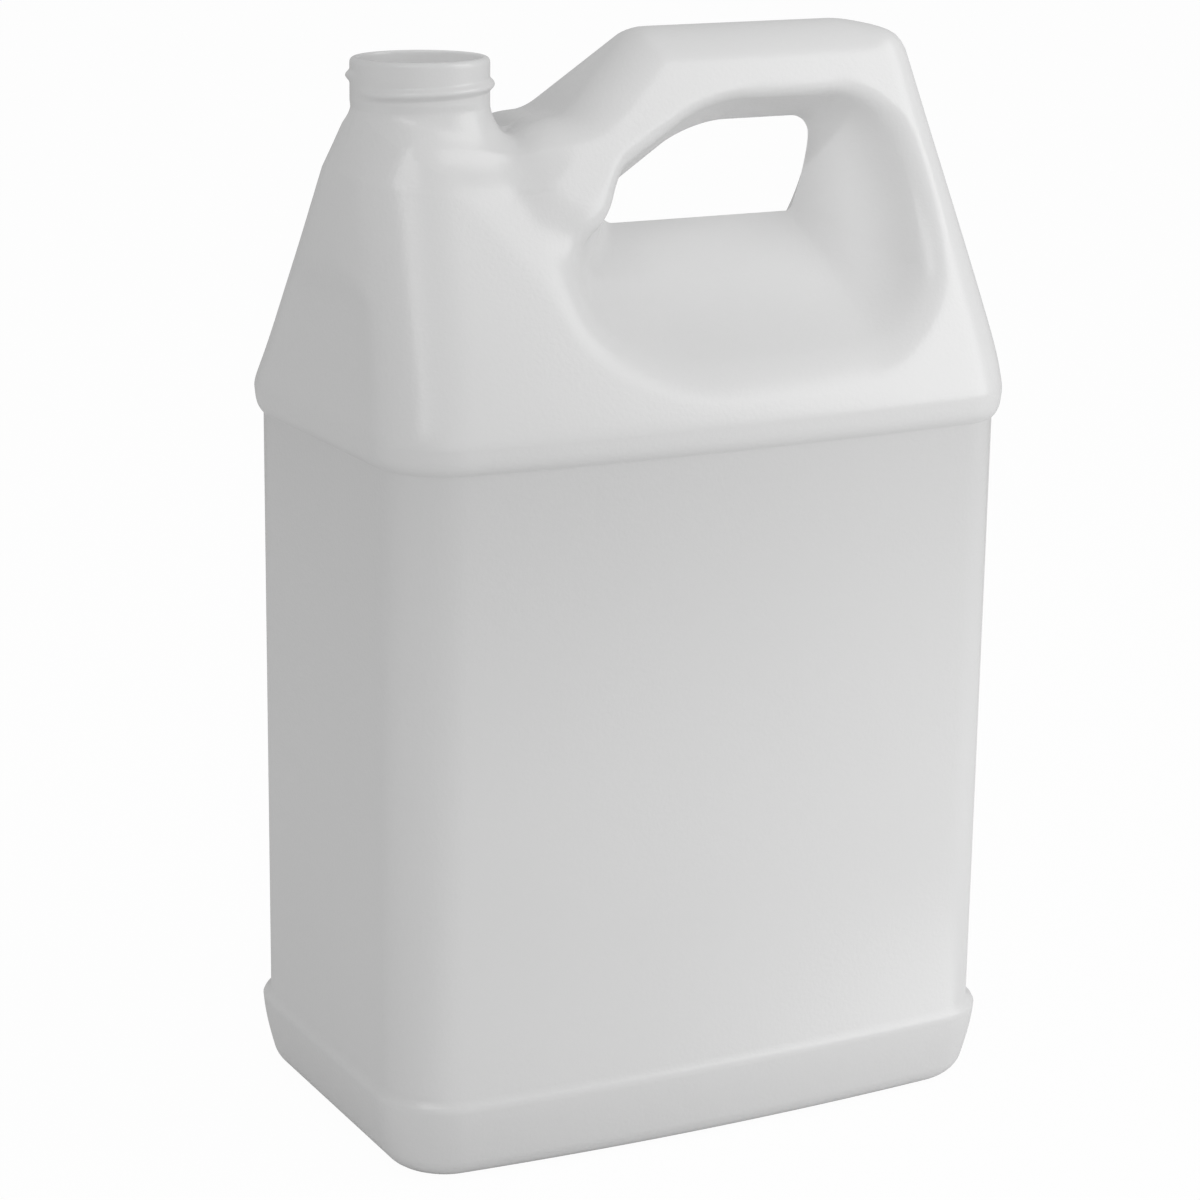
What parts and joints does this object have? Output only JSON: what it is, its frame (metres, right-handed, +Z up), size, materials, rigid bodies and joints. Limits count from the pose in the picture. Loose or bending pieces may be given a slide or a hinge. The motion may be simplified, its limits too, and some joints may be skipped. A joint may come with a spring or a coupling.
{
  "type": "pretreatment fluid jug",
  "caption": "Rectangular blow-moulded plastic jug with a threaded open neck at one corner end, a hollow moulded-in handle over a sloping finger pocket, a shoulder line and a stepped base.",
  "frame": {"origin": "middle of the footprint on the standing plane", "axes": "+Z up, +X from the neck towards the leg of the handle along the width, -Y out of the broad face that is seen"},
  "size_m": [0.1776, 0.1138, 0.2833],
  "materials": {
    "hdpe": "natural translucent polyethylene, satin, slightly waxy"
  },
  "bodies": {
    "root": {"jug": "hdpe"}
  },
  "joints": []
}
